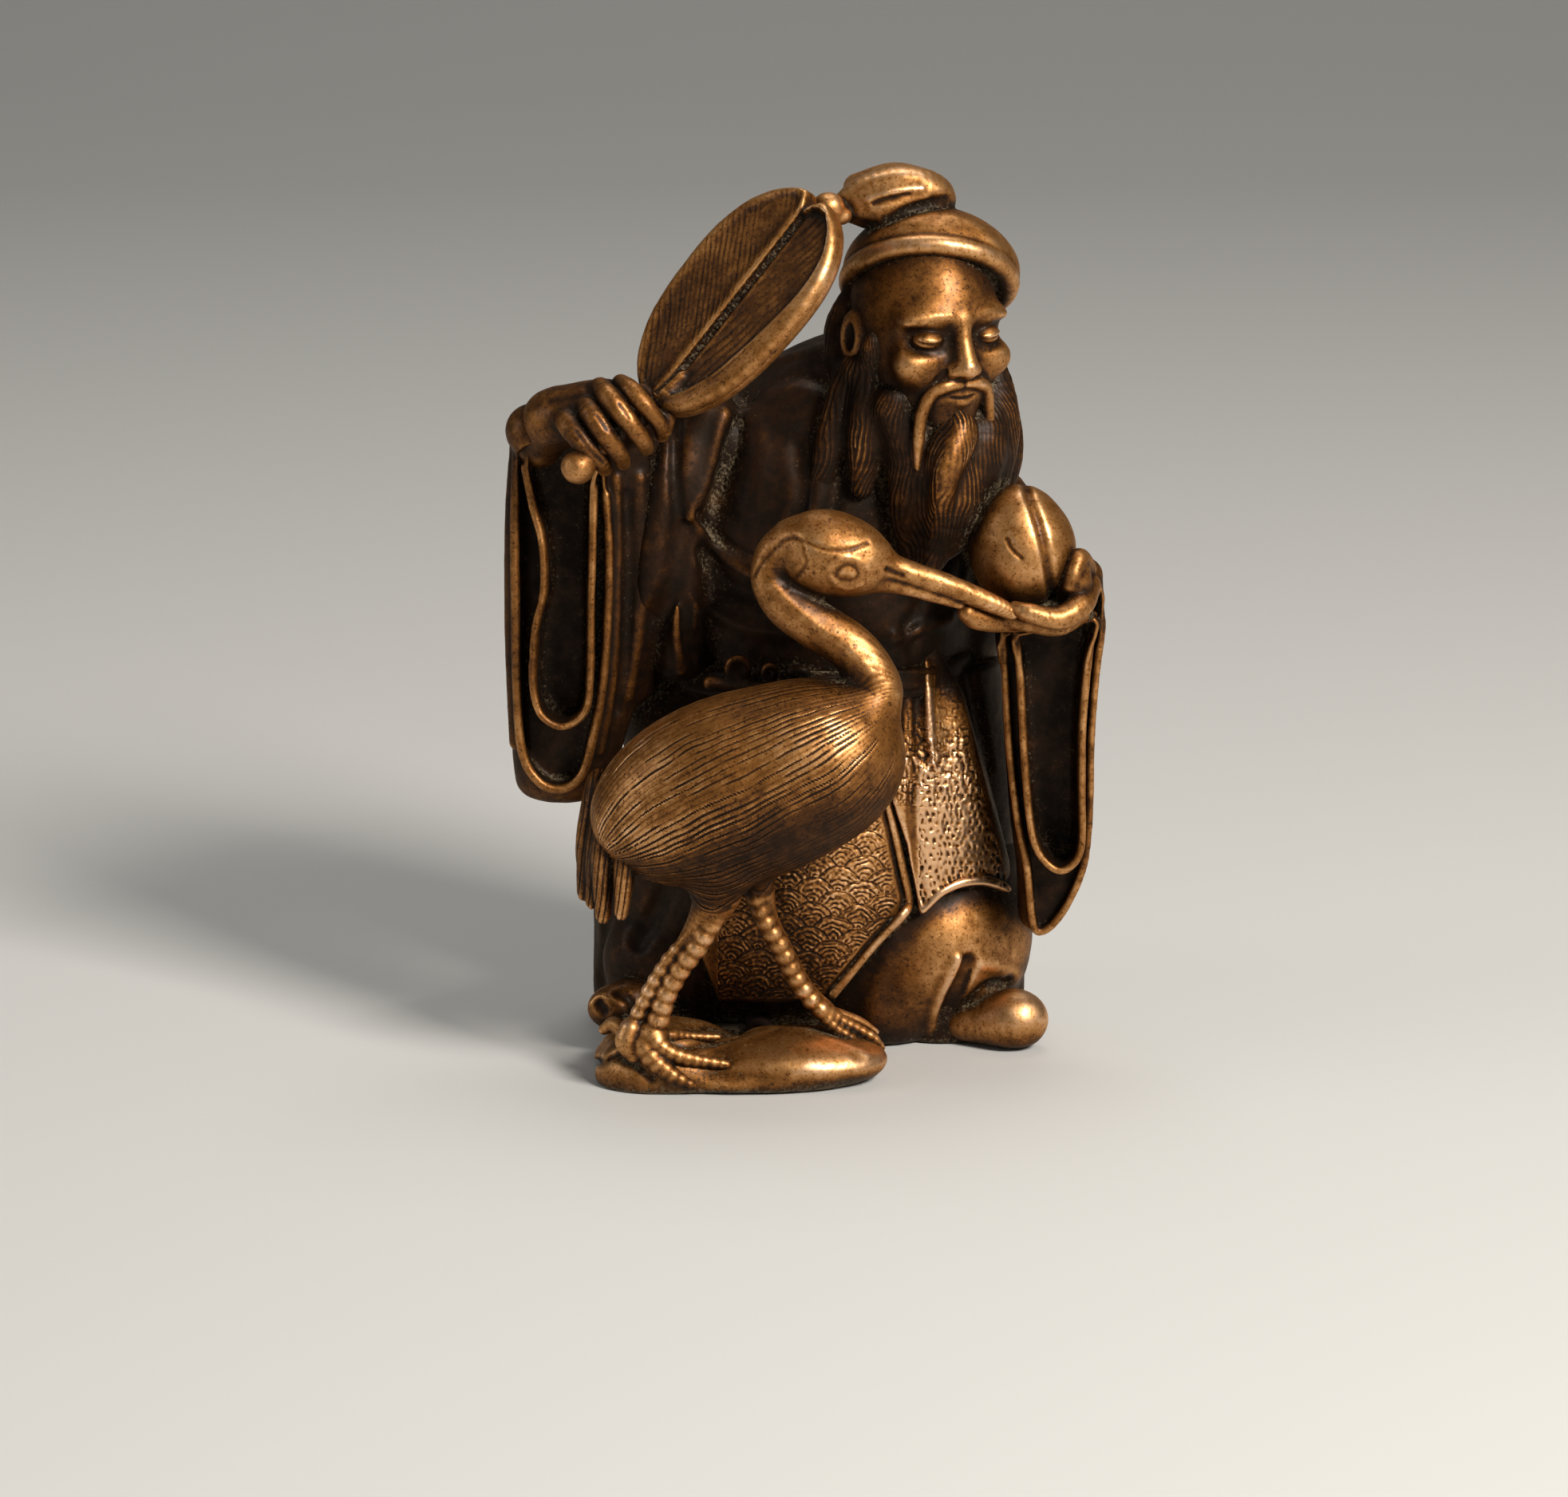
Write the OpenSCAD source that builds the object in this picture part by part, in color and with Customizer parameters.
// Okimono: a standing sage in a long-sleeved coat, with a leaf fan, a peach and a crane on a rock.
// A small cast and chased copper-alloy ornament, made in sections that are joined with
// tenons, pegs and dowels. Millimetres, Z up, the front of the figure looks along -Y.

/* [Size] */
// Overall height, from the floor to the top of the cap
overall_h = 55.9; // [45:0.1:70]

/* [Rock base] */
// Width of the rock that the crane stands on
rock_w = 18.4; // [17.6:0.2:19]
// Depth of the rock, front to back
rock_d = 13.4; // [12.6:0.2:14]
// Height of the rock's ridge
rock_h = 3.3; // [3:0.1:3.6]

/* [Fan] */
// Length of the fan's leaf
fan_leaf_l = 16.0; // [14:0.5:16]
// Width of the fan's leaf
fan_leaf_w = 9.6; // [9:0.2:10.4]
// Thickness of the fan's leaf
fan_leaf_t = 1.7; // [1.2:0.1:2]
// Turn of the leaf about its length, in degrees
fan_turn = 47; // [42:1:50]
// Diameter of the fan's round handle
fan_handle_d = 1.30; // [1:0.05:1.5]

/* [Peach] */
// Width of the peach
peach_w = 6.6; // [6:0.1:6.8]
// Height of the peach
peach_h = 7.9; // [7.4:0.1:8]

/* [Crane] */
// Length of the crane's body, tail to breast
crane_l = 19.4; // [18:0.2:19.6]
// Height of the crane's body
crane_h = 12.0; // [11:0.2:12]
// Thickness of the crane's body, side to side
crane_t = 10.4; // [9:0.2:10.6]

/* [Joints] */
// Diameter of the dowel that joins the skirt and the coat
waist_dowel_d = 3.0; // [2:0.1:4]
// Diameter of the head's neck tenon
neck_tenon_d = 3.6; // [3:0.1:4]
// Diameter of the pin through the neck tenon
neck_pin_d = 1.0; // [0.8:0.1:1.2]
// Diameter of each sleeve's shoulder tenon
sleeve_tenon_d = 2.6; // [2:0.1:3]
// Diameter of each hand's wrist tenon
wrist_tenon_d = 1.8; // [1.4:0.1:2]
// Diameter of the legs' tenons and foot pegs
leg_peg_d = 0.9; // [0.7:0.1:1]
// Diameter of the shoes' and the tail's tenons
small_tenon_d = 1.2; // [1:0.1:1.4]
// Diameter of the dowel between the rock and the robe
base_dowel_d = 1.6; // [1.2:0.1:2]
// Diameter of the dowel between the crane and the robe
crane_dowel_d = 1.4; // [1:0.1:1.6]
// Diameter of the pins through the sleeves' tenons
sleeve_pin_d = 1.0; // [0.8:0.1:1.2]
// Diameter of the peg under the peach
peach_peg_d = 1.0; // [0.8:0.1:1.4]
// Diameter of the peg under the cap
cap_peg_d = 1.6; // [1.2:0.1:2]
// Radial gap between a tenon or peg and its bore
fit_gap = 0.02; // [0.01:0.01:0.05]

/* [Hidden] */

k = overall_h / 55.9;          // the tables below are for a 55.9 mm figure
shift = [0.05, 0.35, 0];       // brings the middle of the footprint to the origin
sd = 20;                       // sides of a lofted ring
gold = [0.72, 0.47, 0.27];
brown = [0.42, 0.26, 0.16];
dark = [0.24, 0.16, 0.11];

// ---- Shapes ----

// A closed skin over rings that each have the same number of points.
module skin(rings) {
    n = len(rings[0]);
    m = len(rings);
    pts = [for (r = rings) for (p = r) p];
    c0 = [for (i = 0, s = [0, 0, 0]; i <= n; s = i < n ? s + rings[0][i] : s, i = i + 1) if (i == n) s / n][0];
    c1 = [for (i = 0, s = [0, 0, 0]; i <= n; s = i < n ? s + rings[m - 1][i] : s, i = i + 1) if (i == n) s / n][0];
    all = concat(pts, [c0, c1]);
    lower = n * m;
    upper = n * m + 1;
    faces = concat(
        [for (j = [0 : m - 2]) for (i = [0 : n - 1]) [j * n + i, (j + 1) * n + i, (j + 1) * n + (i + 1) % n]],
        [for (j = [0 : m - 2]) for (i = [0 : n - 1]) [j * n + i, (j + 1) * n + (i + 1) % n, j * n + (i + 1) % n]],
        [for (i = [0 : n - 1]) [lower, i, (i + 1) % n]],
        [for (i = [0 : n - 1]) [upper, (m - 1) * n + (i + 1) % n, (m - 1) * n + i]]);
    polyhedron(points = all, faces = faces, convexity = 6);
}

// A level oval ring: [z, centre x, centre y, half width, half depth].
function oval(s, n) = [for (i = [0 : n - 1]) let (t = 360 * i / n) [s[1] + s[3] * cos(t), s[2] + s[4] * sin(t), s[0]]];
module stack(sections, n = sd) { skin([for (s = sections) oval(s, n)]); }

function unit(v) = v / norm(v);
function along(p, i) = unit(i == 0 ? p[1] - p[0] : i == len(p) - 1 ? p[i] - p[i - 1] : unit(p[i + 1] - p[i]) + unit(p[i] - p[i - 1]));
function ring_at(c, t, r, flat, side, n) =
    let (u = unit(cross(t, side)), v = unit(cross(t, u)))
    [for (i = [0 : n - 1]) let (a = 360 * i / n) c + r * cos(a) * u + r * flat * sin(a) * v];
// A limb: a round-ended tube through the points p, with radius r[i] at each. flat is its thickness
// along side over its width, and side is the direction that it is measured in.
module limb(p, r, flat = 1, side = [0, 1, 0], n = 12) {
    m = len(p) - 1;
    t0 = along(p, 0);
    t1 = along(p, m);
    skin(concat(
        [ring_at(p[0] - t0 * r[0] * 0.85, t0, r[0] * 0.5, flat, side, n), ring_at(p[0] - t0 * r[0] * 0.5, t0, r[0] * 0.86, flat, side, n)],
        [for (i = [0 : m]) ring_at(p[i], along(p, i), r[i], flat, side, n)],
        [ring_at(p[m] + t1 * r[m] * 0.5, t1, r[m] * 0.86, flat, side, n), ring_at(p[m] + t1 * r[m] * 0.85, t1, r[m] * 0.5, flat, side, n)]));
}
module orb(c, r, turn = [0, 0, 0], fn = 20) { translate(c) rotate(turn) scale(r) sphere(1, $fn = fn); }
// A thin rolled edge along the line p.
module edge(p, r, n = 6) { limb(p, [for (q = p) r], 1, [0.1, 1, 0.05], n); }
// A flat slab from y0 back to y1 inside the outline p, which is given as [x, z] and drawn in by inset.
module slab(p, y0, y1, inset = 0) { translate([0, y1, 0]) rotate([90, 0, 0]) linear_extrude(y1 - y0) offset(delta = -inset) polygon(p); }
// Everything under it comes out as one closed casting.
module casting() { resize([0, 0, 0]) children(); }
// A straight round rod or bore from a to b.
module rod(a, b, d) {
    v = b - a;
    translate(a) rotate([0, acos(v[2] / norm(v)), atan2(v[1], v[0])]) cylinder(d = d, h = norm(v), $fn = 48);
}
module placed(tone) { color(tone) scale(k) translate(shift) children(); }

// ---- Points that several pieces share ----
leaf_dir = unit([0.62, 0.15, 0.77]);     // along the fan, from the handle to the tip
leaf_c = [-4.1, -6.2, 48.6];             // middle of the fan's leaf
handle_a = [-13.9, -8.5, 38.1];          // butt of the fan's handle
handle_b = leaf_c - leaf_dir * (fan_leaf_l / 2 - 1);
handle_dir = unit(handle_b - handle_a);    // the handle and its bore in the fist share this axis
wrist_r = [-15.4, -3.8, 40.4];
grip_r = [-11.9, -8.0, 40.6];
wrist_l = [17.0, -1.6, 30.2];
palm_l = [14.6, -4.8, 29.2];
peach_c = [13.3, -4.2, 33.1];
neck_xy = [6.2, 1.8];
crane_y = -9.6;
hip_near = [-4.9, crane_y - 0.3, 13.4];
ankle_near = [-9.7, -9.6, 3.9];
hip_far = [-3.6, crane_y + 2.4, 13.2];
ankle_far = [0.7, -7.0, 4.5];
cap_tilt = [-30, 8, 24];
foot_near = [-9.9, -9.2];                // where the foot pegs stand in the rock
foot_far = [1.1, -6.95];
base_pin_a = [-3.0, -5.6, 1.5];          // dowel between the rock and the robe
base_pin_b = [-3.0, 4.6, 1.5];
crane_pin_a = [-2.0, -8.4, 18.4];        // dowel between the crane and the robe
crane_pin_b = [-2.0, -0.6, 18.4];
shoe_l_a = [8.4, 2.7, 1.9];
shoe_l_b = [13.0, -0.6, 1.9];
shoe_r_a = [-7.8, 1.9, 2.2];
shoe_r_b = [-11.4, -1.6, 2.2];
wrist_r_a = [-13.4, -6.2, 41.0];
wrist_r_b = [-15.2, -0.9, 39.2];

// The folds of the hanging sleeves, seen from the front as [x, z]
cuff_r_out = [[-17.7, 39.3], [-17.9, 34.9], [-17.9, 29.4], [-17.8, 22.3], [-17.2, 19.2], [-15.7, 17.8], [-14.3, 18.4], [-13.2, 21.1],
              [-12.5, 24.9], [-12.2, 29.5], [-12.1, 32.9], [-12.3, 36.4], [-13.2, 38.4], [-14.6, 39.0], [-16.4, 39.6]];
cuff_r_in = [[-17.1, 37.6], [-16.2, 33.6], [-16.1, 30.6], [-16.8, 27.9], [-16.8, 24.6], [-16.2, 22.5], [-14.9, 22.0], [-13.7, 23.1],
             [-13.2, 26.6], [-13.1, 32.6], [-13.0, 36.4], [-14.6, 37.8]];
cuff_l_out = [[12.3, 27.4], [12.4, 23.2], [13.1, 16.2], [13.8, 12.3], [14.3, 8.9], [15.3, 8.9], [16.7, 11.2], [17.5, 14.6], [17.6, 20.7],
              [17.9, 25.3], [18.0, 27.6], [15.2, 28.0]];
cuff_l_in = [[13.1, 26.6], [13.3, 23.4], [13.8, 16.9], [14.5, 13.8], [15.6, 12.7], [16.7, 13.3], [17.1, 16.3], [17.1, 21.9], [17.3, 26.4], [15.2, 27.2]];
// The two cloths that hang down the front, and the rounded surfaces that they lie on
panel_line = [[4.4, 21.2], [5.6, 15.0], [6.6, 10.5], [6.4, 9.6], [1.9, 4.13], [-5.5, 3.73], [-7.03, 7.8], [-7.43, 21.2]];
apron_line = [[6.6, 23.6], [9.6, 23.6], [10.6, 21.4], [11.4, 17.9], [12.4, 14.2], [13.2, 10.2], [11.0, 11.5], [8.9, 11.2], [7.1, 9.4], [6.2, 14.0]];
function split(line, m) = [for (i = [0 : len(line) - 1], j = [0 : m - 1]) line[i] + j / m * (line[(i + 1) % len(line)] - line[i])];
function middle(line, i = 0) = i == len(line) - 1 ? line[i] / len(line) : line[i] / len(line) + middle(line, i + 1);
function on_panel(q) = [q[0], 5.2 - 10 * sqrt(1 - pow((q[0] + 1.2) / 13, 2) - pow((q[1] - 12.5) / 17.5, 2)), q[1]];
function on_apron(q) = [q[0], 4.8 - 9.1 * sqrt(1 - pow((q[0] - 2.1) / 12.1, 2) - pow((q[1] - 14) / 20.5, 2)), q[1]];
// Rings of a cloth from its hidden back edge to its middle. line runs round it, and on says which surface it lies on
function lay(q, on) = on == 0 ? on_panel(q) : on_apron(q);
function cloth(line, on) = let (c = middle(line)) concat(
    [[for (q = line) lay(q, on) + [0, 3.6, 0]], [for (q = line) lay(q, on) + [0, 0.12, 0]]],
    [for (t = [0.96, 0.72, 0.42, 0.12]) [for (q = line) lay(c + t * (q - c), on)]]);
function rev(line) = [for (i = [len(line) - 1 : -1 : 0]) line[i]];
// The head: middle, turn and nod. hp gives a place on it from its side, forward and up distances
head_c = [7.05, -1.3, 46.8];
head_turn = 29;
head_nod = 4;
function hp(s, f, u) = head_c + [
    s * cos(head_turn) + (f * cos(head_nod) + u * sin(head_nod)) * sin(head_turn),
    s * sin(head_turn) - (f * cos(head_nod) + u * sin(head_nod)) * cos(head_turn),
    u * cos(head_nod) - f * sin(head_nod)];

// ---- Outer shapes, before the neighbours are cut out of them ----
module rock_raw() {
    stack([[0, -4.1, -4.9, rock_w / 2 - 0.4, rock_d / 2 - 0.3], [0.7, -4.1, -4.9, rock_w / 2, rock_d / 2],
           [1.6, -4.1, -4.8, rock_w / 2 - 0.3, rock_d / 2 - 0.4], [2.6, -4.5, -4.6, rock_w / 2 - 1.5, rock_d / 2 - 1.8],
           [rock_h, -5.2, -4.6, rock_w / 2 - 3.6, rock_d / 2 - 3.2]], 24);
    stack([[0.7, -0.63, -7.1, 4.4, 2.9], [1.35, -0.63, -7.1, 4.9, 3.3], [2.45, -0.63, -7.0, 4.2, 2.8], [3.15, -0.63, -6.9, 2.2, 1.5]], 18);   // the round front hump
}
module crane_raw() {
    orb([-3.9, crane_y, 19.3], [crane_l / 2, crane_t / 2, crane_h / 2], [0, -17, 0], 24);
    orb([1.0, crane_y, 21.2], [5.0, 4.5, 4.4], [0, -30, 0], 16);
    // neck
    limb([[2.3, crane_y, 22.2], [4.0, -9.7, 24.4], [3.7, -9.5, 26.6], [1.5, -9.1, 28.9], [-0.9, -8.8, 30.6], [-2.3, -8.5, 32.2],
          [-2.4, -8.4, 33.9], [-1.2, -8.4, 35.0], [0.4, -8.4, 35.0]], [2.6, 2.0, 1.75, 1.65, 1.5, 1.35, 1.2, 1.25, 1.4], 0.95, [0, 1, 0], 12);
    orb([1.7, -8.5, 33.4], [3.5, 2.6, 2.8], [0, 12, 0], 18);
    orb([2.5, -10.8, 32.9], [0.75, 0.4, 0.5], [0, 0, 0], 10);   // eye
    // beak
    limb([[4.0, -8.5, 33.0], [5.3, -8.5, 32.4], [9.0, -8.1, 31.1], [12.0, -7.6, 29.95]], [1.3, 1.0, 0.75, 0.42], 0.9, [0, 1, 0], 10);
}
module tail_raw() {
    orb([-12.6, -9.8, 17.0], [1.3, 1.9, 1.7], [0, 0, 0], 14);
    for (f = [[-12.8, -8.8, 17.6, -13.7, -8.6, 12.6], [-12.7, -9.8, 17.2, -13.0, -9.7, 11.4], [-12.4, -10.7, 16.8, -12.2, -10.6, 11.8]])
        limb([[f[0], f[1], f[2]], [f[0] * 0.6 + f[3] * 0.4 - 0.2, f[1], f[2] * 0.55 + f[5] * 0.45], [f[3], f[4], f[5]]], [1.15, 1.0, 0.6], 0.9, [1, 0, 0], 10);
}
module leg_near_raw() {
    limb([hip_near, [-6.7, -9.8, 9.6], [-8.6, -9.7, 6.2], ankle_near], [1.6, 1.2, 1.05, 1.1], 0.85, [0, 1, 0], 10);
    limb([for (i = [0 : 12]) [-6.5, -9.85, 10.2] + i / 12 * [-2.75, 0, -5.6]], [for (i = [0 : 12]) i % 2 ? 1.32 : 1.08], 0.88, [0, 1, 0], 10);    // scales
    for (toe = [[-4.9, -10.6, 2.2], [-7.2, -11.3, 1.2], [-11.9, -8.0, 2.9]])
        limb([ankle_near + [0, 0, -0.6], (ankle_near + toe) / 2 + [0, -0.3, -0.3], toe], [0.95, 0.62, 0.42], 1, [0, 1, 0.3], 8);
}
module leg_far_raw() {
    limb([hip_far, [-2.1, -7.0, 9.4], [-0.8, -6.9, 6.8], ankle_far], [1.15, 0.9, 0.78, 0.8], 0.9, [0, 1, 0], 10);
    limb([for (i = [0 : 10]) [-2.37, -7.09, 9.87] + i / 10 * [2.13, 0.03, -4.35]], [for (i = [0 : 10]) i % 2 ? 1.04 : 0.87], 0.93, [0, 1, 0], 9);     // scales
    for (toe = [[4.9, -6.6, 2.0], [3.1, -5.0, 2.6], [2.9, -8.6, 2.3]])
        limb([ankle_far + [0.1, 0, -0.3], (ankle_far + toe) / 2 + [0, 0, 0.1], toe], [0.74, 0.57, 0.44], 1, [0.1, 1, 0.4], 9);
}
module skirt_raw() {
    stack([[0, -0.6, 6.6, 12.6, 6.2], [2, -0.5, 6.1, 13.2, 7.0], [6, -0.4, 5.4, 13.5, 8.3], [10, -0.5, 4.7, 13.2, 8.8], [14, -0.2, 4.3, 12.1, 8.7],
           [19, 0.2, 4.0, 10.5, 8.3], [24, 0.6, 3.8, 9.1, 7.8]], 28);
    stack([[0, 8.6, 5.6, 4.8, 5.8], [8, 8.7, 5.4, 4.9, 5.9], [14, 8.5, 5.2, 4.7, 5.6], [19, 8.1, 5.0, 4.4, 5.1], [21.4, 7.7, 4.8, 3.9, 4.5], [22.4, 7.3, 4.7, 2.8, 3.4]], 22);
    skin(cloth([for (q = rev(split(panel_line, 3))) q], 0));     // cloth with waves
    skin(cloth([for (q = rev(split(apron_line, 2))) q], 1));     // cloth with pits
    edge([for (q = [[4.4, 20.6], [5.5, 15.2], [6.5, 10.6], [6.3, 9.6], [4.5, 7.6], [2.0, 4.2]]) on_panel(q)], 0.46);
    edge([for (q = [[7.3, 9.8], [8.2, 10.8], [9.6, 11.4], [11.2, 11.4], [12.4, 10.8], [13.1, 10.1]]) on_apron(q)], 0.4);
    edge([for (q = [[7.3, 23], [7.6, 20.6], [8.0, 18.6]]) on_apron(q)], 0.34);
    orb([8.4, 4.2, 4.7], [6.0, 5.6, 6.4], [0, 0, 0], 20);       // trouser leg over the forward foot
    orb([7.8, 1.8, 6.4], [4.6, 4.3, 4.6], [0, 0, 0], 18);
    orb([-8.0, 2.6, 4.6], [4.6, 4.2, 4.8], [0, 0, 0], 16);      // trouser leg over the rear foot
}
module shoe_l_raw() {
    limb([[8.4, 2.2, 1.85], [11.2, 0.2, 1.75], [13.9, -0.9, 1.9]], [1.65, 1.7, 1.55], 0.95, [0, 1, 0], 14);
    orb([13.06, -0.72, 1.93], [1.95, 1.7, 1.85], [0, 0, -14], 16);      // rounded toe
}
module shoe_r_raw() { limb([[-9.0, 0.8, 2.4], [-11.4, -1.4, 2.6], [-12.7, -2.6, 3.3]], [1.7, 1.5, 1.1], 0.95, [0, 1, 0], 12); }
module coat_raw() {
    stack([[24, 0.6, 3.8, 9.3, 8.0], [26, 0.6, 3.7, 9.8, 8.1], [29.5, 0.4, 3.6, 10.2, 8.0], [34, 0.5, 3.8, 10.4, 7.7], [38, 1.6, 3.9, 10.6, 7.2],
           [41.5, 3.0, 3.7, 8.8, 6.2], [43.6, 4.4, 3.2, 6.4, 5.0], [45, 5.4, 2.8, 4.4, 4.0]], 26);
    limb([[-6.5, 0.0, 40.0], [-8.0, -1.1, 36.0], [-8.4, -1.4, 31.0], [-7.7, -1.2, 27.4]], [2.3, 2.5, 2.4, 1.8], 1, [0, 1, 0], 14);    // cloth over the right breast
    limb([[8.4, 4.4, 35.6], [9.5, 4.6, 31.0], [9.6, 4.8, 27.6]], [2.3, 2.5, 2.4], 1, [0, 1, 0], 14);                              // cloth under the left arm
    edge([[-4.6, -1.5, 40.7], [-5.8, -2.5, 38.1], [-7.2, -3.5, 35.1], [-6.1, -2.7, 33.7], [-3.7, -3.6, 31.5], [-1.5, -4.2, 31.0]], 0.36);   // collar
    edge([[-8.2, -2.0, 39.8], [-7.7, -2.9, 37.3], [-7.4, -3.5, 35.1]], 0.3);
}
module sash_raw() {
    stack([[22.6, 0.6, 3.9, 9.6, 8.2], [23.2, 0.6, 3.9, 10.0, 8.6], [24.6, 0.6, 3.9, 10.0, 8.6], [25.3, 0.6, 3.8, 9.6, 8.3]], 26);
    orb([-3.4, -4.3, 25.8], [1.6, 1.1, 1.5], [0, 0, 0], 14);
    limb([[-4.2, -4.6, 25.4], [-5.2, -4.6, 23.4], [-5.8, -4.4, 21.4]], [0.7, 0.8, 0.6], 0.6, [0, 1, 0], 8);
    limb([[-2.9, -4.6, 25.4], [-1.2, -4.8, 25.6], [0.6, -4.8, 26.4]], [0.7, 0.9, 0.6], 0.6, [0, 1, 0], 8);
}
module sleeve_r_raw() {
    limb([[-5.5, 3.0, 38.4], [-10.5, 1.4, 38.4], [-14.8, -2.2, 39.8]], [4.2, 3.7, 2.8], 0.95, [0, 0, 1], 16);
    stack([[16.6, -15.2, -1.6, 1.5, 1.2], [17.2, -15.2, -1.6, 2.6, 1.9], [19, -15.1, -1.4, 3.3, 2.6], [24, -14.4, -1.0, 4.1, 3.2],
           [30, -13.6, -0.6, 4.9, 3.5], [36, -12.9, -0.4, 5.6, 3.7], [40, -12.8, -0.4, 5.2, 3.4]], 22);
    slab(cuff_r_out, -4.6, 0);
}
module sleeve_r_cuff() {    // the outer layer's hollow, with the inner layer and its hollow in it
    difference() {
        children();
        slab(cuff_r_out, -9, -3.2, 0.45);
    }
    difference() {
        slab(cuff_r_in, -5.2, -1.5);
        slab(cuff_r_in, -9, -2.2, 0.42);
    }
}
module sleeve_l_raw() {
    limb([[8.0, 3.2, 36.6], [11.8, 2.8, 33.4], [15.3, 0.4, 30.2]], [3.8, 3.1, 2.1], 0.95, [0, 0, 1], 16);
    stack([[8.2, 14.5, -1.2, 0.8, 0.8], [9.2, 14.7, -1.2, 1.5, 1.5], [12, 15.3, -1.2, 2.1, 2.3], [16, 15.4, -1.0, 2.7, 2.8],
           [23, 15.3, -0.8, 3.0, 3.1], [28.5, 15.5, -0.7, 2.8, 3.1], [30.8, 15.5, -0.6, 2.3, 2.6]], 22);
    slab(cuff_l_out, -4.1, 0);
}
module sleeve_l_cuff() {
    difference() {
        children();
        slab(cuff_l_out, -9, -3.0, 0.4);
    }
    difference() {
        slab(cuff_l_in, -4.9, -1.4);
        slab(cuff_l_in, -9, -2.0, 0.4);
    }
}
module hand_r_raw() {
    orb([-13.6, -5.9, 41.0], [2.3, 2.0, 2.0], [0, 20, 0], 16);
    for (i = [0 : 3])
        let (c = grip_r + (i - 1.6) * 1.2 * leaf_dir)
        limb([c + [-1.5, 0.3, 1.0], c + [-0.2, -1.1, 0.5], c + [1.2, -0.9, -0.5], c + [1.3, 0.4, -1.0]], [0.68, 0.7, 0.64, 0.54], 1, leaf_dir, 8);
    orb(grip_r + [-0.1, 0.7, 0.1], [1.7, 1.5, 2.0], [0, 40, 0], 16);
}
module hand_l_raw() {
    orb(palm_l, [2.6, 2.1, 1.0], [0, -8, 0], 16);
    limb([wrist_l + [-0.2, -0.6, 0], palm_l + [1.4, 0.6, 0.2]], [1.3, 1.2], 1, [0, 0, 1], 10);
    limb([[16.8, -4.4, 30.9], [16.4, -6.0, 29.6], [14.9, -7.1, 29.1], [13.0, -7.4, 29.3]], [0.8, 0.75, 0.68, 0.55], 1, [0, 0, 1], 8);
    limb([[14.0, -5.6, 28.6], [12.2, -6.6, 28.7], [10.4, -7.1, 29.2]], [0.75, 0.68, 0.6], 1, [0, 0, 1], 8);
    orb([16.7, -3.4, 31.7], [0.8, 1.0, 1.1], [0, 0, 0], 12);
}
module fan_raw() {
    // the leaf is turned about its length, so that its lower edge comes forward
    p = unit([leaf_dir[2], 0, -leaf_dir[0]]);
    q = unit(cross(leaf_dir, p));
    w = cos(fan_turn) * p - sin(fan_turn) * q;
    h = cross(leaf_dir, w);
    translate(leaf_c) multmatrix([[leaf_dir[0], w[0], h[0], 0], [leaf_dir[1], w[1], h[1], 0], [leaf_dir[2], w[2], h[2], 0], [0, 0, 0, 1]])
        difference() {
            linear_extrude(fan_leaf_t, center = true) leaf_outline();
            // the two lobes dip on either side of the midrib
            translate([0, 0, -fan_leaf_t / 2 - 1]) linear_extrude(1.5)
                intersection() { offset(delta = -0.9) leaf_outline(); translate([-20, 0.4]) square([40, 20]); }
            translate([0, 0, -fan_leaf_t / 2 - 1]) linear_extrude(1.25)
                intersection() { offset(delta = -0.4) leaf_outline(); translate([-20, -20.4]) square([40, 20]); }
            translate([-fan_leaf_l / 2 + 1, -0.1, -fan_leaf_t / 2 - 1]) cube([fan_leaf_l - 1, 0.2, 1.3]);
            translate([fan_leaf_l / 2 + 0.1, 0, 0]) cylinder(r = 0.7, h = 10, center = true, $fn = 20);
        }
}
module leaf_outline() {
    polygon([for (i = [0 : 35]) let (a = 10 * i) [fan_leaf_l / 2 * cos(a), fan_leaf_w / 2 * sin(a) * (1 + 0.2 * cos(a))]]);
}
module peach_raw() {
    translate(peach_c) rotate([0, 8, 0]) stack([[-peach_h / 2, 0, 0, peach_w * 0.16, peach_w * 0.16], [-peach_h * 0.42, 0, 0, peach_w * 0.34, peach_w * 0.34],
        [-peach_h * 0.22, 0, 0, peach_w * 0.47, peach_w * 0.47], [0, 0, 0, peach_w / 2, peach_w / 2], [peach_h * 0.22, 0, 0, peach_w * 0.45, peach_w * 0.45],
        [peach_h * 0.4, 0, 0, peach_w * 0.26, peach_w * 0.26], [peach_h / 2, 0, 0, peach_w * 0.05, peach_w * 0.05]], 20);
}
module face_orb(s, f, u, r, fn = 12) { translate(hp(s, f, u)) rotate([0, 0, head_turn]) rotate([head_nod, 0, 0]) scale(r) sphere(1, $fn = fn); }
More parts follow.
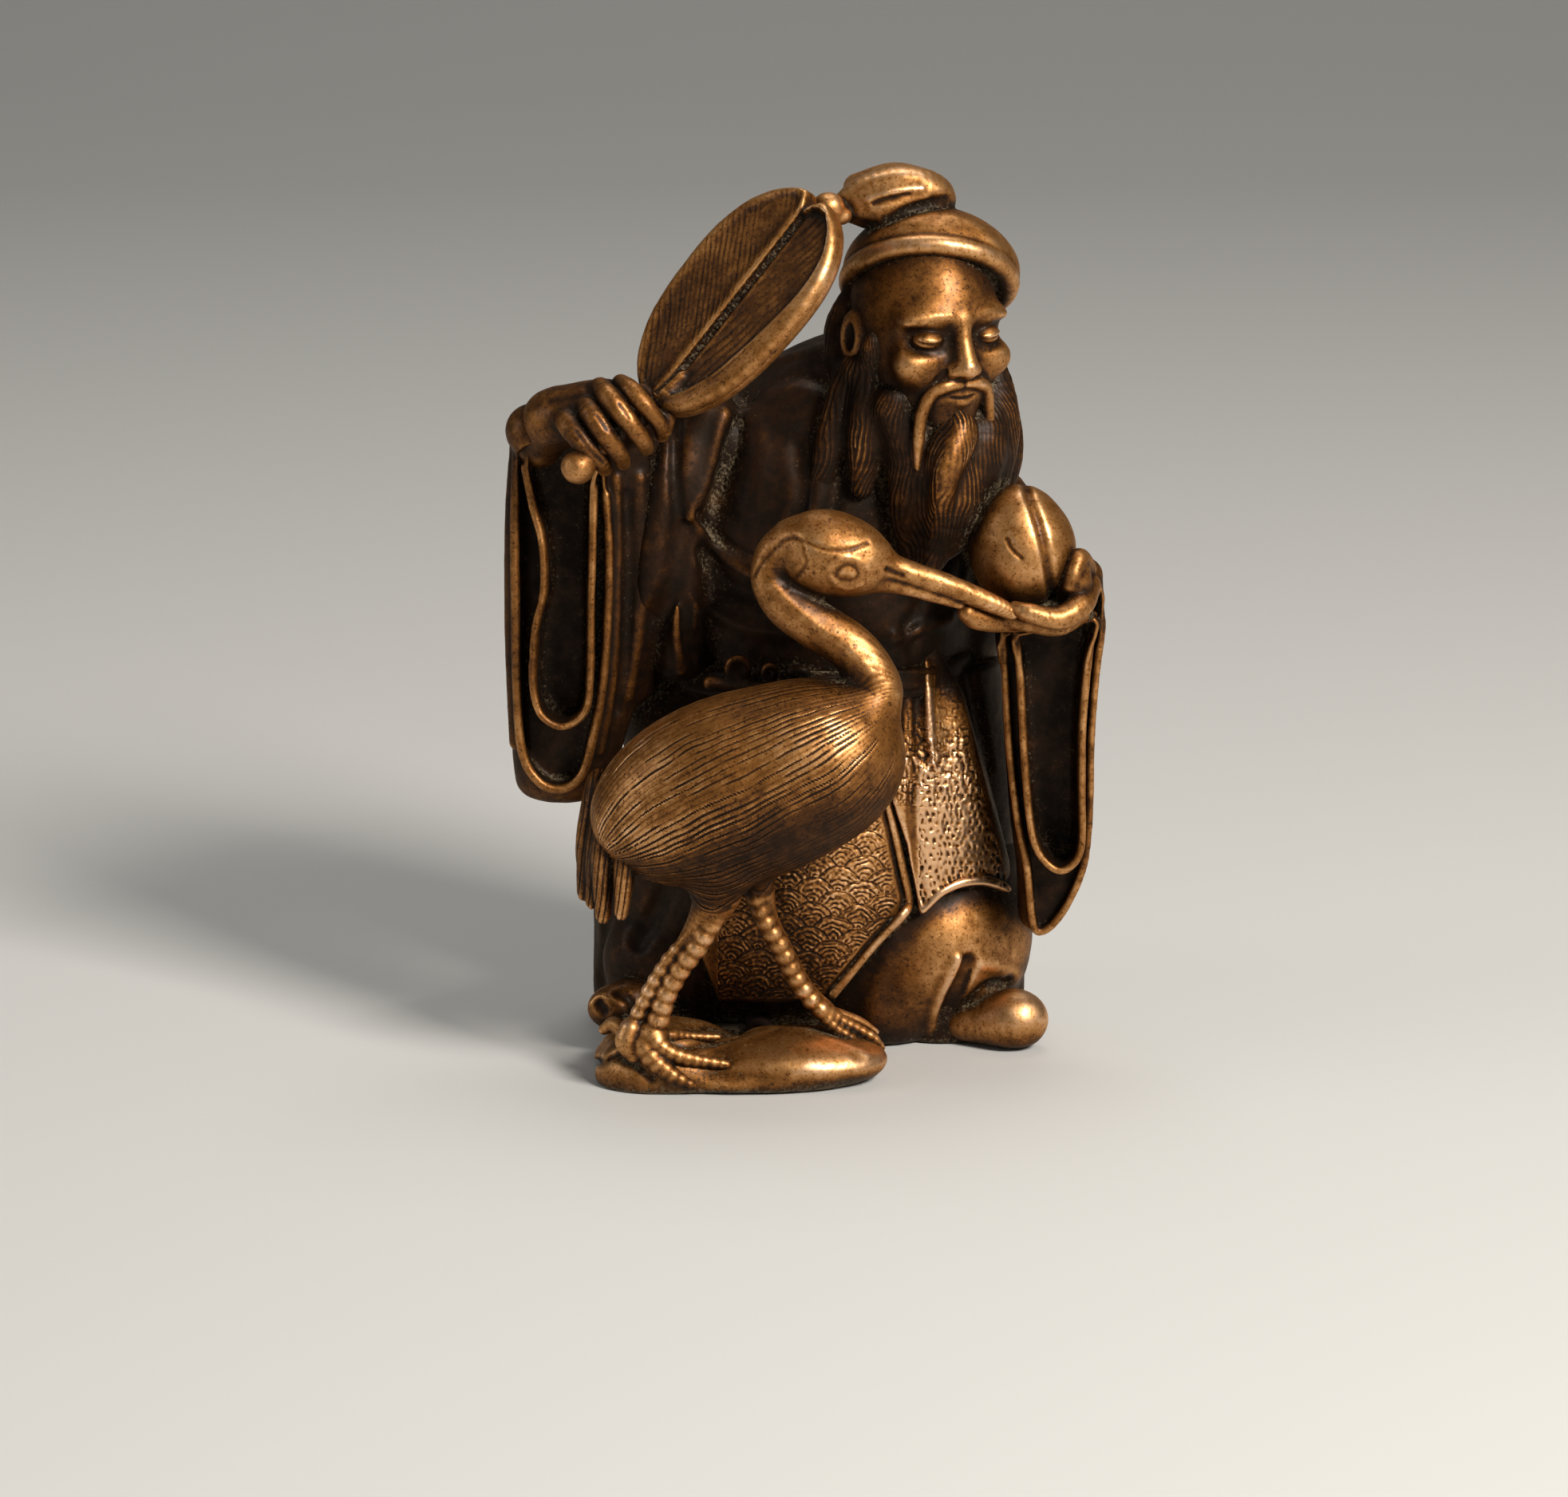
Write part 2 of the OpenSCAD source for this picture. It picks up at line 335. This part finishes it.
module head_raw() {
    difference() {
        union() {
            face_orb(0, 0, 0, [4.7, 5.5, 6.3], 26);
            face_orb(0, 1.7, -3.3, [3.5, 3.5, 3.3], 20);
            for (k = [-1, 1]) {
                face_orb(k * 1.9, 3.95, 0.95, [1.9, 0.95, 0.8]);      // brow
                face_orb(k * 2.35, 3.1, -1.9, [2.0, 1.75, 2.0], 16);      // cheek
            }
            face_orb(0, 3.9, -3.6, [1.9, 1.35, 1.2]);
            face_orb(0, 3.9, -5.4, [1.5, 1.2, 1.0]);                // chin
        }
        for (k = [-1, 1]) face_orb(k * 2.05, 5.5, -0.1, [1.25, 0.8, 0.62]);
    }
    for (k = [-1, 1]) {
        face_orb(k * 1.98, 4.25, -0.15, [0.95, 0.85, 0.6]);         // closed eye
        face_orb(k * 0.66, 5.25, -2.0, [0.55, 0.6, 0.45], 10);      // side of the nose
        limb([hp(k * 0.28, 5.35, -2.85), hp(k * 1.15, 5.15, -2.95), hp(k * 1.95, 4.75, -3.5), hp(k * 2.35, 4.45, -4.9), hp(k * 2.5, 4.5, -6.6), hp(k * 2.4, 4.3, -8.2)],
             [0.30, 0.44, 0.44, 0.42, 0.36, 0.25], 1, [0, 1, 0.3], 8);      // moustache
    }
    limb([hp(0, 4.75, 0.9), hp(0, 5.25, -0.5), hp(0, 5.7, -1.75)], [0.5, 0.55, 0.7], 1, [1, 0, 0], 10);     // nose
    limb([hp(-1.1, 4.72, -3.5), hp(-0.4, 5.12, -3.42), hp(0.4, 5.12, -3.42), hp(1.1, 4.72, -3.5)], [0.14, 0.26, 0.26, 0.14], 1, [0, 0, 1], 8);     // closed lips
    limb([hp(-0.85, 4.8, -3.88), hp(0, 5.12, -4.0), hp(0.85, 4.8, -3.88)], [0.16, 0.3, 0.16], 1, [0, 0, 1], 8);
    face_orb(-4.6, -0.4, -0.9, [0.75, 1.2, 1.8], 12);                                                       // ear
    limb([hp(0, 4.75, -5.0), hp(0, 5.15, -6.2), [8.7, -6.3, 37.8], [8.3, -5.7, 35.2], [7.7, -5.1, 33.3]], [0.7, 1.15, 0.95, 0.75, 0.35], 1, [0, 1, 0], 10);   // beard
    limb([hp(0, 2.2, -6.0), [8.4, -4.4, 36.6], [7.7, -4.1, 32.7]], [2.3, 2.1, 0.9], 0.8, [0, 1, 0], 12);
    limb([hp(-3.0, 2.6, -4.6), [6.5, -4.2, 39.0], [6.3, -4.2, 35.2], [6.2, -3.9, 32.9]], [1.5, 1.7, 1.2, 0.5], 0.75, [0, 1, 0], 12);
    limb([hp(3.0, 2.4, -4.8), [11.0, -3.6, 38.8], [10.2, -4.0, 35.5], [9.5, -3.9, 33.2]], [1.4, 1.6, 1.2, 0.5], 0.75, [0, 1, 0], 12);
    limb([hp(-3.9, 1.4, -1.0), [4.4, -3.3, 43.3], [4.0, -3.9, 40.0], [3.5, -4.0, 36.6]], [1.0, 1.5, 1.5, 0.8], 0.7, [0, 1, 0], 10);              // side hair
    limb([hp(-4.3, -0.2, -2.6), [2.9, -2.5, 42.6], [1.6, -3.1, 38.8], [0.8, -3.5, 35.0]], [1.0, 1.4, 1.2, 0.7], 0.7, [0, 1, 0], 10);
    limb([hp(3.9, 1.2, -2.2), [11.9, -1.7, 42.4], [12.1, -2.2, 39.6], [11.8, -2.6, 36.8]], [0.7, 1.0, 1.2, 0.9], 0.7, [0, 1, 0], 10);
    translate([neck_xy[0], neck_xy[1], 42]) cylinder(r = 3.2, h = 4, $fn = 20);
}
module cap_raw() {
    translate([7.0, -0.7, 49.1]) rotate(cap_tilt) {
        stack([[-0.8, 0, 0, 5.4, 5.4], [-0.3, 0, 0, 5.7, 5.7], [0.6, 0, 0, 5.5, 5.5], [1.2, 0, 0, 5.5, 5.5],
            [2.4, 0, 0.2, 5.3, 5.4], [4.2, -0.1, 0.6, 4.2, 4.6], [5.4, -0.2, 0.8, 2.4, 2.8]], 26);
        translate([0, 0, -0.3]) rotate_extrude($fn = 30) translate([5.55, 0]) circle(0.62, $fn = 12);      // rolled brim
    }
    limb([[2.6, -1.6, 53.2], [4.2, -1.0, 53.8], [6.4, -0.6, 54.3], [8.0, 0.0, 53.9]], [0.9, 1.4, 1.6, 1.3], 1.2, [0, 1, 0], 12);
    orb([1.5, -2.8, 53.5], [1.1, 1.0, 1.0], [0, 0, 0], 14);
}

// ---- Pieces ----
module rock_base() placed(gold) difference() {
    casting() difference() { rock_raw(); skirt_raw(); shoe_r_raw(); }
    rod([foot_near[0], foot_near[1], 0.9], [foot_near[0], foot_near[1], 5], leg_peg_d + 2 * fit_gap);
    rod([foot_far[0], foot_far[1], 0.9], [foot_far[0], foot_far[1], 5], leg_peg_d + 2 * fit_gap);
    rod(base_pin_a, base_pin_b, base_dowel_d);
}
module crane_body() placed(gold) difference() {
    casting() difference() { crane_raw(); hand_l_raw(); peach_raw(); skirt_raw(); sash_raw(); }
    rod([hip_near[0], hip_near[1], 11], [hip_near[0], hip_near[1], 16.2], leg_peg_d + 2 * fit_gap);
    rod([hip_far[0], hip_far[1], 11], [hip_far[0], hip_far[1], 16.2], leg_peg_d + 2 * fit_gap);
    rod([-14.0, -9.6, 15.74], [-9.6, -9.6, 17.5], small_tenon_d + 2 * fit_gap);
    rod(crane_pin_a, crane_pin_b, crane_dowel_d);
}
module crane_tail() placed(brown) union() {
    casting() difference() { tail_raw(); crane_raw(); }
    rod([-13.4, -9.6, 15.98], [-9.9, -9.6, 17.38], small_tenon_d);
}
module crane_leg_near() placed(gold) union() {
    casting() difference() { leg_near_raw(); crane_raw(); rock_raw(); }
    rod([hip_near[0], hip_near[1], 12.4], [hip_near[0], hip_near[1], 16], leg_peg_d);
    rod([foot_near[0], foot_near[1], 1.0], [foot_near[0], foot_near[1], 3.4], leg_peg_d);
}
module crane_leg_far() placed(gold) union() {
    casting() difference() { leg_far_raw(); crane_raw(); rock_raw(); }
    rod([hip_far[0], hip_far[1], 12.2], [hip_far[0], hip_far[1], 16], leg_peg_d);
    rod([foot_far[0], foot_far[1], 1.0], [foot_far[0], foot_far[1], 4.5], leg_peg_d);
}
module skirt() placed(brown) difference() {
    casting() difference() {
        skirt_raw();
        limb([[10.2, -2.2, 7.2], [9.8, -2.4, 5.6], [9.1, -1.9, 3.7], [8.7, -0.9, 1.6]], [0.35, 0.5, 0.6, 0.5], 1, [0, 1, 0.2], 8);   // fold over the foot
        for (f = [[-7, 0, 0.5], [-3.5, 1.2, 0.6], [0.5, 1.7, 0.6], [4.5, 1.5, 0.6], [8.2, 0.4, 0.5]])
            limb([[f[0], 13.6 + f[1] - 1.4, 1], [f[0] * 0.9, 13.0 + f[1] - 1.2, 9], [f[0] * 0.75, 11.6 + f[1] - 0.9, 18]], [f[2], f[2], 0.25], 1, [0, 1, 0.1], 8);   // hanging folds at the back
        translate([-30, -30, 24]) cube(60);
        translate([-30, -30, -60]) cube(60);
    }
    rod([0.6, 4.2, 20], [0.6, 4.2, 25], waist_dowel_d);
    rod(base_pin_a, base_pin_b, base_dowel_d);
    rod(crane_pin_a, crane_pin_b, crane_dowel_d);
    rod(shoe_l_a, shoe_l_b, small_tenon_d + 2 * fit_gap);
    rod(shoe_r_a, shoe_r_b, small_tenon_d + 2 * fit_gap);
}
module left_shoe() placed(gold) union() {
    casting() difference() { shoe_l_raw(); skirt_raw(); translate([-30, -30, -60]) cube(60); }
    rod(shoe_l_a + 0.2 * unit(shoe_l_b - shoe_l_a), shoe_l_b, small_tenon_d);
}
module right_shoe() placed(brown) union() {
    casting() difference() { shoe_r_raw(); skirt_raw(); translate([-30, -30, -60]) cube(60); }
    rod(shoe_r_a + 0.2 * unit(shoe_r_b - shoe_r_a), shoe_r_b, small_tenon_d);
}
module coat() placed(dark) difference() {
    casting() coat_raw();
    rod([0.6, 4.2, 23], [0.6, 4.2, 28], waist_dowel_d);
    rod([neck_xy[0], neck_xy[1], 38.4], [neck_xy[0], neck_xy[1], 46], neck_tenon_d + 2 * fit_gap);
    rod([neck_xy[0], neck_xy[1] - 3.2, 40.4], [neck_xy[0], 14, 40.4], neck_pin_d);
    rod([-5.2, 3.4, 36.2], [-12, 3.4, 36.2], sleeve_tenon_d + 2 * fit_gap);
    rod([6.6, 3.6, 35.0], [14, 3.6, 35.0], sleeve_tenon_d + 2 * fit_gap);
    rod([-6.6, 2.2, 36.2], [-6.6, 14, 36.2], sleeve_pin_d);
    rod([8.2, 2.4, 35.0], [8.2, 14, 35.0], sleeve_pin_d);
}
module sash() placed(brown) casting() difference() { sash_raw(); skirt_raw(); coat_raw(); }
module right_sleeve() placed(dark) difference() {
    union() {
        casting() difference() { sleeve_r_cuff() sleeve_r_raw(); coat_raw(); }
        difference() {
            rod([-5.5, 3.4, 36.2], [-11, 3.4, 36.2], sleeve_tenon_d);
            rod([-6.6, 0, 36.2], [-6.6, 14, 36.2], sleeve_pin_d);
        }
    }
    rod(wrist_r_a, wrist_r_b + 0.2 * unit(wrist_r_b - wrist_r_a), wrist_tenon_d + 2 * fit_gap);
}
module left_sleeve() placed(dark) difference() {
    union() {
        casting() difference() { sleeve_l_cuff() sleeve_l_raw(); coat_raw(); skirt_raw(); sash_raw(); }
        difference() {
            rod([6.9, 3.6, 35.0], [12.0, 3.6, 35.0], sleeve_tenon_d);
            rod([8.2, 0, 35.0], [8.2, 14, 35.0], sleeve_pin_d);
        }
    }
    rod([16.3, -4.6, 29.6], [16.3, 1.6, 29.6], wrist_tenon_d + 2 * fit_gap);
}
module right_hand() placed(brown) difference() {
    union() {
        casting() difference() { hand_r_raw(); sleeve_r_raw(); }
        rod(wrist_r_a, wrist_r_b, wrist_tenon_d);
    }
    rod(handle_a - handle_dir, handle_b + handle_dir, fan_handle_d + 2 * fit_gap);
}
module left_hand() placed(gold) union() {
    casting() difference() { hand_l_raw(); sleeve_l_raw(); }
    rod([16.3, -3.2, 29.6], [16.3, 1.4, 29.6], wrist_tenon_d);
    rod([13.6, -4.4, 29.0], [13.6, -4.4, 32.6], peach_peg_d);
}
module fan() placed(brown) union() {
    casting() difference() { fan_raw(); hand_r_raw(); cap_raw(); }
    rod(handle_a, handle_b + handle_dir * 0.4, fan_handle_d);
    translate(handle_a) sphere(d = 2.0, $fn = 32);
}
module peach() placed(gold) difference() {
    casting() difference() {
        peach_raw();
        hand_l_raw();
        sleeve_l_raw();
        edge([[13.9, -4.6, 37.0], [14.1, -6.4, 35.6], [14.6, -7.2, 33.4], [15.1, -6.9, 31.6], [15.3, -6.0, 30.2]], 0.26);   // seam of the fruit
    }
    rod([13.6, -4.4, 28], [13.6, -4.4, 32.8], peach_peg_d + 2 * fit_gap);
}
module head() placed(brown) difference() {
    union() {
        casting() difference() { head_raw(); coat_raw(); fan_raw(); sleeve_l_raw(); peach_raw(); crane_raw(); }
        rod([neck_xy[0], neck_xy[1], 38.6], [neck_xy[0], neck_xy[1], 47], neck_tenon_d);
        rod([7.0, -0.6, 50], [7.0, -0.6, 53.6], cap_peg_d);
    }
    rod([neck_xy[0], neck_xy[1] - 3, 40.4], [neck_xy[0], 14, 40.4], neck_pin_d);
}
module cap() placed(gold) difference() {
    casting() difference() { cap_raw(); head_raw(); }
    rod([7.0, -0.6, 49], [7.0, -0.6, 53.8], cap_peg_d + 2 * fit_gap);
}
module waist_dowel() placed(gold) rod([0.6, 4.2, 20], [0.6, 4.2, 28], waist_dowel_d);
module base_dowel() placed(gold) rod(base_pin_a, base_pin_b, base_dowel_d);
module crane_dowel() placed(gold) rod(crane_pin_a, crane_pin_b, crane_dowel_d);
module neck_pin() placed(gold) rod([neck_xy[0], neck_xy[1] - 3, 40.4], [neck_xy[0], 10.0, 40.4], neck_pin_d);
module sleeve_pins() placed(gold) {
    rod([-6.6, 2.2, 36.2], [-6.6, 8.7, 36.2], sleeve_pin_d);
    rod([8.2, 2.4, 35.0], [8.2, 8.9, 35.0], sleeve_pin_d);
}

rock_base();
crane_body();
crane_tail();
crane_leg_near();
crane_leg_far();
skirt();
left_shoe();
right_shoe();
coat();
sash();
right_sleeve();
left_sleeve();
right_hand();
left_hand();
fan();
peach();
head();
cap();
waist_dowel();
base_dowel();
crane_dowel();
neck_pin();
sleeve_pins();
